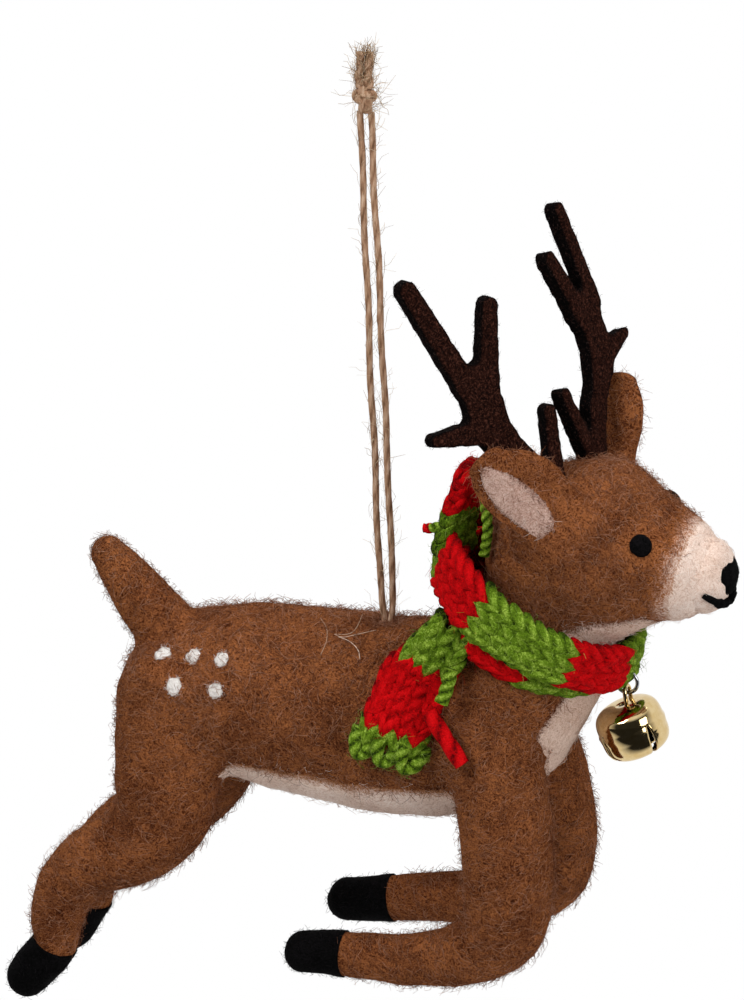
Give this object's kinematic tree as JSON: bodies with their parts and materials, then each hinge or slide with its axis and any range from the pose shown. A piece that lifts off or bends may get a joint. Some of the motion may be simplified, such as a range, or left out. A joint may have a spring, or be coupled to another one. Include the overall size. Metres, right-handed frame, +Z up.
{
  "type": "felt christmas ornament",
  "caption": "Leaping needle-felted reindeer that hangs on a knotted twine loop, with flat felt antlers, a striped knitted scarf and a jingle bell that swings below it.",
  "frame": {"origin": "the hang point: the middle of the twine loop directly under its knot, where a hook or twig carries the ornament", "axes": "+Z up along the hanging twine, +X towards the deer's nose, +Y towards the deer's left side"},
  "size_m": [0.1358, 0.0495, 0.1806],
  "materials": {
    "brown_wool": "needle-felted wool",
    "cream_wool": "needle-felted wool",
    "pink_wool": "needle-felted wool",
    "black_wool": "needle-felted wool",
    "white_wool": "needle-felted wool",
    "antler_felt": "cut felt sheet",
    "red_knit": "knitted yarn",
    "green_knit": "knitted yarn",
    "batting": "loose batting",
    "jute_twine": "twisted jute",
    "gold_metal": "polished",
    "steel_wire": "satin"
  },
  "bodies": {
    "hanger": {"twine_knot": "jute_twine", "rear_twine_end": "jute_twine", "front_twine_end": "jute_twine"},
    "twine": {"rear_twine_strand": "jute_twine", "front_twine_strand": "jute_twine"},
    "anchor": {"twine_anchor": "jute_twine"},
    "figure": {"belly_patch": "cream_wool", "body_core": "batting", "chest_patch": "cream_wool", "front_leg_wire": "steel_wire", "head": "brown_wool", "left_antler": "antler_felt", "left_ear": "brown_wool", "left_ear_lining": "pink_wool", "left_eye": "black_wool", "left_front_hoof": "black_wool", "left_front_lower_leg": "brown_wool", "left_front_upper_leg": "brown_wool", "left_rear_hoof": "black_wool", "left_rear_shank": "brown_wool", "left_rear_thigh": "brown_wool", "left_spot_1": "white_wool", "left_spot_2": "white_wool", "left_spot_3": "white_wool", "left_spot_4": "white_wool", "left_spot_5": "white_wool", "mouth_line": "black_wool", "muzzle": "cream_wool", "nose": "black_wool", "rear_leg_wire": "steel_wire", "right_antler": "antler_felt", "right_ear": "brown_wool", "right_ear_lining": "pink_wool", "right_eye": "black_wool", "right_front_hoof": "black_wool", "right_front_lower_leg": "brown_wool", "right_front_upper_leg": "brown_wool", "right_rear_hoof": "black_wool", "right_rear_shank": "brown_wool", "right_rear_thigh": "brown_wool", "right_spot_1": "white_wool", "right_spot_2": "white_wool", "right_spot_3": "white_wool", "right_spot_4": "white_wool", "right_spot_5": "white_wool", "scarf_inner_turn": "red_knit", "scarf_nape_end": "green_knit", "scarf_outer_turn": "green_knit", "tail": "brown_wool", "throat_patch": "pink_wool", "torso": "brown_wool"},
    "scarf_tail": {"scarf_tail": "red_knit", "red_yarn_end": "red_knit", "green_yarn_end": "green_knit"},
    "jump_ring": {"jump_ring": "steel_wire"},
    "bell": {"bell_shell": "gold_metal", "bell_shank": "gold_metal"},
    "pellet": {"bell_pellet": "steel_wire"}
  },
  "joints": [
    {"name": "twine_sway", "type": "hinge", "parent": "hanger", "child": "twine", "pos_m": [0, 0, -0.0019], "axis": [1, 0, 0], "range_deg": [-40, 40]},
    {"name": "figure_turn", "type": "hinge", "parent": "twine", "child": "anchor", "pos_m": [0, 0, -0.0981], "axis": [0, 0, 1], "range_deg": [-180, 180]},
    {"name": "figure_pitch", "type": "hinge", "parent": "anchor", "child": "figure", "pos_m": [0, 0, -0.0981], "axis": [0, 1, 0], "range_deg": [-18, 25]},
    {"name": "scarf_tail_lift", "type": "hinge", "parent": "figure", "child": "scarf_tail", "pos_m": [0.0155, -0.01436, -0.08874], "axis": [-0.9487, -0.1, 0.2999], "range_deg": [0, 45]},
    {"name": "ring_swing", "type": "hinge", "parent": "figure", "child": "jump_ring", "pos_m": [0.04351, 0, -0.10309], "axis": [0, 1, 0], "range_deg": [-35, 4]},
    {"name": "bell_swing", "type": "hinge", "parent": "jump_ring", "child": "bell", "pos_m": [0.04351, 0, -0.10604], "axis": [1, 0, 0], "range_deg": [-35, 35]},
    {"name": "pellet_roll", "type": "hinge", "parent": "bell", "child": "pellet", "pos_m": [0.04423, 0, -0.1129], "axis": [0, 1, 0], "range_deg": [-70, 70]}
  ]
}
